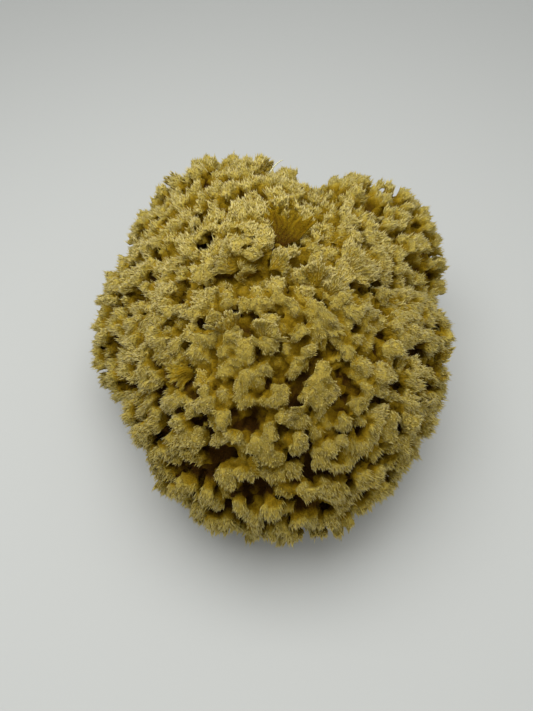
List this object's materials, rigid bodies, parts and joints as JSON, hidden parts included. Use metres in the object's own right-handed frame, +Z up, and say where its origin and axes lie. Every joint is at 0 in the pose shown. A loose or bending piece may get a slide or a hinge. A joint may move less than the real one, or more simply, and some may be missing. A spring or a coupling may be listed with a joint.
{
  "type": "sea sponge",
  "caption": "Natural sea sponge: a rounded, lobed mass of straw-coloured fibre tufts in winding crests with dark pits between, cut flat below to rest on.",
  "frame": {"origin": "middle of the cut base, on the surface that it rests on", "axes": "+Z up, -Y towards the front, +X to the right seen from the front"},
  "size_m": [0.1612, 0.1767, 0.1053],
  "materials": {
    "straw_fibre": "dry matt felted fibre, pale straw at the tips and orange brown in the channels and pits"
  },
  "bodies": {
    "root": {"sponge": "straw_fibre"}
  },
  "joints": []
}
